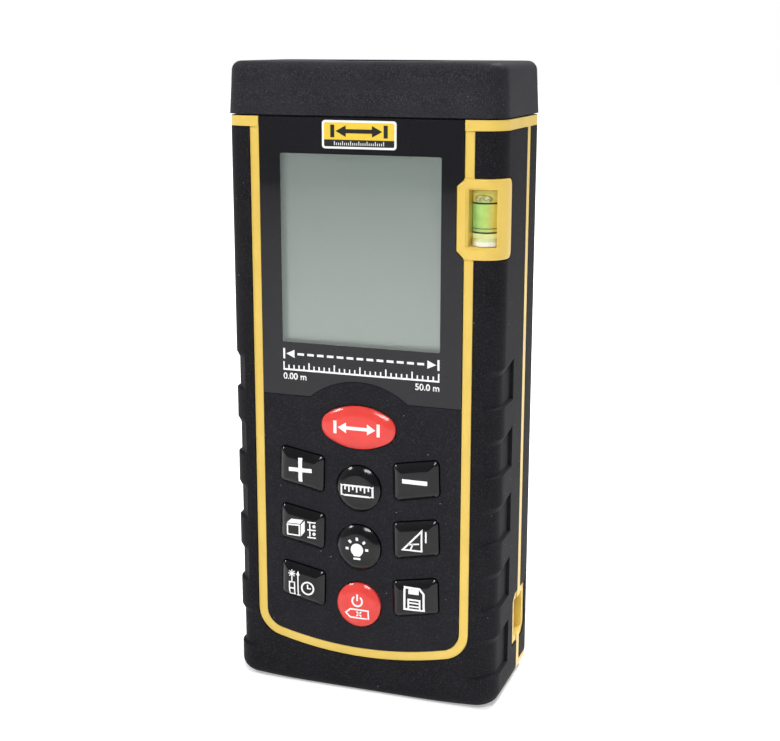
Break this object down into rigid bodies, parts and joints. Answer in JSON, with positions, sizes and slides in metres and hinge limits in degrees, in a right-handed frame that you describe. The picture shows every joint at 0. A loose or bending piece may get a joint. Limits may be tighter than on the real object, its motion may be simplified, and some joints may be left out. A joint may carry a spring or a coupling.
{
  "type": "laser distance meter",
  "caption": "Upright hand-held laser distance meter with a yellow casing, black soft pads, nose cap, display over a keypad, corner spirit vial and side strap eyelet.",
  "frame": {"origin": "centre of the base, on the surface that the meter stands on", "axes": "+Z from the base up to the nose cap, +X to the right across the front face, +Y from the front face to the back"},
  "size_m": [0.0547, 0.0292, 0.123],
  "materials": {
    "yellow_plastic": "satin moulded ABS",
    "soft_black": "fine matt grain",
    "cap_black": "fine spark texture",
    "plate_black": "fine spark texture",
    "key_black": "clear domed gloss",
    "key_red": "clear domed gloss",
    "cover_smoke": "polished acrylic with a dark printed border",
    "lcd_grey": "polarised film over glass",
    "guide_white": "milky",
    "seal_rubber": "matt",
    "optic_glass": "coated",
    "filter_red": "polished",
    "cast_metal": "die cast, bead blasted",
    "brass_metal": "turned",
    "steel": "bright zinc",
    "circuit_green": "solder mask",
    "chip_black": "matt epoxy",
    "flex_amber": "film",
    "silicone_grey": "matt",
    "badge_yellow": "printed film",
    "label_silver": "satin foil",
    "vial_clear": "polished acrylic",
    "vial_green": "liquid",
    "vial_white": "polished",
    "door_black": "fine spark texture",
    "cell_wrap": "printed sleeve"
  },
  "bodies": {
    "casing": {"front_shell": "yellow_plastic", "rear_shell": "yellow_plastic", "front_grip": "soft_black", "rear_grip": "soft_black", "rear_label": "label_silver", "nose_cap": "cap_black", "nose_seal": "seal_rubber", "receiver_lens": "optic_glass", "laser_window": "optic_glass", "optics_chassis": "cast_metal", "laser_barrel": "brass_metal", "collimator_lens": "optic_glass", "laser_diode": "steel", "optical_filter": "filter_red", "photodiode": "steel", "receiver_board": "circuit_green", "flex_cable": "flex_amber", "optics_screws": "steel", "display_lens": "cover_smoke", "front_badge": "badge_yellow", "lcd_panel": "lcd_grey", "lcd_light_guide": "guide_white", "lcd_connector_strip": "silicone_grey", "keypad_plate": "plate_black", "keypad_mat": "silicone_grey", "key_domes": "steel", "main_board": "circuit_green", "board_chips": "chip_black", "buzzer": "chip_black", "board_screws": "steel", "case_screws": "steel", "vial_tube": "vial_clear", "vial_plug": "vial_white", "vial_liquid": "vial_green", "strap_pin": "steel", "battery_left": "cell_wrap", "battery_right": "cell_wrap", "battery_springs": "steel", "battery_plates": "steel"},
    "door": {"battery_door": "door_black"},
    "key_measure": {"key_measure": "key_red"},
    "key_plus": {"key_plus": "key_black"},
    "key_minus": {"key_minus": "key_black"},
    "key_unit": {"key_unit": "key_black"},
    "key_area": {"key_area": "key_black"},
    "key_light": {"key_light": "key_black"},
    "key_triangle": {"key_triangle": "key_black"},
    "key_reference": {"key_reference": "key_black"},
    "key_off": {"key_off": "key_red"},
    "key_memory": {"key_memory": "key_black"}
  },
  "joints": [
    {"name": "press_measure", "type": "slide", "parent": "casing", "child": "key_measure", "axis": [0, 1, 0], "range_m": [0, 0.0005], "stiffness_N_per_m": 1500},
    {"name": "press_plus", "type": "slide", "parent": "casing", "child": "key_plus", "axis": [0, 1, 0], "range_m": [0, 0.0005], "stiffness_N_per_m": 1500},
    {"name": "press_minus", "type": "slide", "parent": "casing", "child": "key_minus", "axis": [0, 1, 0], "range_m": [0, 0.0005], "stiffness_N_per_m": 1500},
    {"name": "press_unit", "type": "slide", "parent": "casing", "child": "key_unit", "axis": [0, 1, 0], "range_m": [0, 0.0005], "stiffness_N_per_m": 1500},
    {"name": "press_area", "type": "slide", "parent": "casing", "child": "key_area", "axis": [0, 1, 0], "range_m": [0, 0.0005], "stiffness_N_per_m": 1500},
    {"name": "press_light", "type": "slide", "parent": "casing", "child": "key_light", "axis": [0, 1, 0], "range_m": [0, 0.0005], "stiffness_N_per_m": 1500},
    {"name": "press_triangle", "type": "slide", "parent": "casing", "child": "key_triangle", "axis": [0, 1, 0], "range_m": [0, 0.0005], "stiffness_N_per_m": 1500},
    {"name": "press_reference", "type": "slide", "parent": "casing", "child": "key_reference", "axis": [0, 1, 0], "range_m": [0, 0.0005], "stiffness_N_per_m": 1500},
    {"name": "press_off", "type": "slide", "parent": "casing", "child": "key_off", "axis": [0, 1, 0], "range_m": [0, 0.0005], "stiffness_N_per_m": 1500},
    {"name": "press_memory", "type": "slide", "parent": "casing", "child": "key_memory", "axis": [0, 1, 0], "range_m": [0, 0.0005], "stiffness_N_per_m": 1500},
    {"name": "door_swing", "type": "hinge", "parent": "casing", "child": "door", "pos_m": [0, 0.0139, 0.011], "axis": [-1, 0, 0], "range_deg": [0, 70]}
  ]
}
